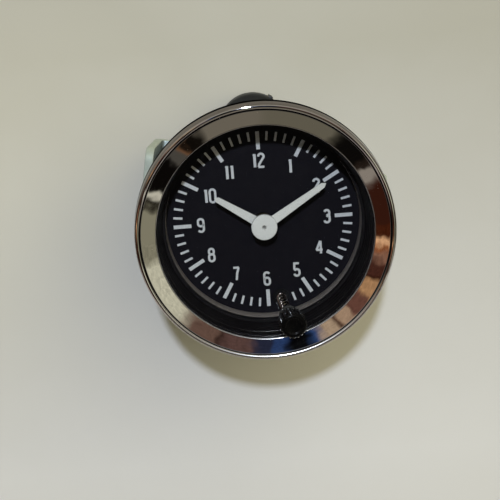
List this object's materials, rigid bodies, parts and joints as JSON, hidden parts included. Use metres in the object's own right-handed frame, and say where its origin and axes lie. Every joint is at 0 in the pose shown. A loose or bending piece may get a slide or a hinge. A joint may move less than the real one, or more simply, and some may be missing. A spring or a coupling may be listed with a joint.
{
  "type": "car clock",
  "caption": "Round panel-mounted car clock with chromed bezel, lit dial, two hands, a push-and-turn setting knob through the lens, and a rear clamp bracket.",
  "frame": {"origin": "on the clock's axis, in the plane of the bezel's rear face, where it meets the panel", "axes": "+Z out of the dial towards the viewer, +Y towards 12 o'clock, +X towards 3 o'clock"},
  "size_m": [0.0636, 0.06, 0.0627],
  "materials": {
    "chrome": "mirror-polished chromium plate",
    "glass": "clear, polished",
    "seal_rubber": "matte",
    "shroud_black": "matte black moulding",
    "light_ring": "translucent satin moulding",
    "dial_black": "matte black paint",
    "dial_print": "screen-printed matte white",
    "white_moulding": "satin moulding",
    "hand_white": "satin white enamel",
    "steel": "turned, lightly polished",
    "spring_steel": "drawn wire",
    "wheel_brass": "fine-grained",
    "board_green": "solder mask",
    "black_moulding": "satin black moulding",
    "capacitor_sleeve": "shrunk sleeve",
    "zinc_sheet": "zinc-plated, faint blue-green passivation",
    "zinc_fastener": "bright zinc plate",
    "tinned_brass": "tinned",
    "knob_black": "moulded, semi-gloss"
  },
  "bodies": {
    "clock": {"bezel": "chrome", "lens": "glass", "lens_seal": "seal_rubber", "lens_grommet": "seal_rubber", "shroud_ring": "shroud_black", "light_ring": "light_ring", "dial": "dial_black", "minute_track": "dial_print", "dial_support": "white_moulding", "minute_wheel_stud": "steel", "stepper_motor": "steel", "front_plate": "wheel_brass", "rear_plate": "wheel_brass", "plate_pillars": "wheel_brass", "circuit_board": "board_green", "quartz_can": "steel", "driver_chip": "black_moulding", "capacitor": "capacitor_sleeve", "case": "zinc_sheet", "rear_cover": "zinc_sheet", "case_screws": "zinc_fastener", "movement_spacers": "wheel_brass", "lamp_holder": "black_moulding", "lamp_bulb": "glass", "terminal_block": "black_moulding", "terminals": "tinned_brass", "mounting_studs": "zinc_fastener", "bracket": "zinc_sheet", "lock_washers": "zinc_fastener", "thumb_nuts": "zinc_fastener", "setting_spring": "spring_steel", "stem_bush": "black_moulding"},
    "minute_work": {"minute_hand": "hand_white", "hub_disc": "hand_white", "centre_arbor": "steel", "cannon_pinion": "steel", "centre_wheel": "wheel_brass"},
    "hour_work": {"hour_hand": "hand_white", "hour_wheel": "wheel_brass"},
    "minute_wheel_work": {"minute_wheel": "wheel_brass"},
    "reduction_work": {"reduction_wheel": "white_moulding"},
    "motor_rotor": {"motor_pinion": "steel"},
    "setting_plunger": {"setting_collar": "steel"},
    "setting_shaft": {"setting_knob": "knob_black", "setting_stem": "steel", "setting_pinion": "steel"}
  },
  "joints": [
    {"name": "minute_spin", "type": "hinge", "parent": "clock", "child": "minute_work", "pos_m": [0, 0, 0], "axis": [0, 0, -1], "continuous": true},
    {"name": "hour_spin", "type": "hinge", "parent": "clock", "child": "hour_work", "pos_m": [0, 0, 0], "axis": [0, 0, -1], "continuous": true},
    {"name": "minute_wheel_spin", "type": "hinge", "parent": "clock", "child": "minute_wheel_work", "pos_m": [0.00041, -0.00981, -0.0138], "axis": [0, 0, -1], "continuous": true},
    {"name": "reduction_spin", "type": "hinge", "parent": "clock", "child": "reduction_work", "pos_m": [-0.00987, -0.00359, -0.0184], "axis": [0, 0, -1], "continuous": true},
    {"name": "motor_spin", "type": "hinge", "parent": "clock", "child": "motor_rotor", "pos_m": [-0.00987, -0.01169, -0.0192], "axis": [0, 0, -1], "continuous": true},
    {"name": "knob_push", "type": "slide", "parent": "clock", "child": "setting_plunger", "axis": [-0.0794, 0.0266, -0.9965], "range_m": [0, 0.0017], "stiffness_N_per_m": 60, "springref_m": -0.0003, "deforming": ["setting_spring"]},
    {"name": "knob_turn", "type": "hinge", "parent": "setting_plunger", "child": "setting_shaft", "pos_m": [0.00308, -0.01946, -0.0096], "axis": [-0.0794, 0.0266, -0.9965], "continuous": true}
  ],
  "couplings": [
    {"joint": "hour_spin", "follows": "minute_spin", "ratio": 0.083333},
    {"joint": "minute_wheel_spin", "follows": "minute_spin", "ratio": -0.33333},
    {"joint": "reduction_spin", "follows": "minute_spin", "ratio": -6},
    {"joint": "motor_spin", "follows": "minute_spin", "ratio": 30}
  ]
}
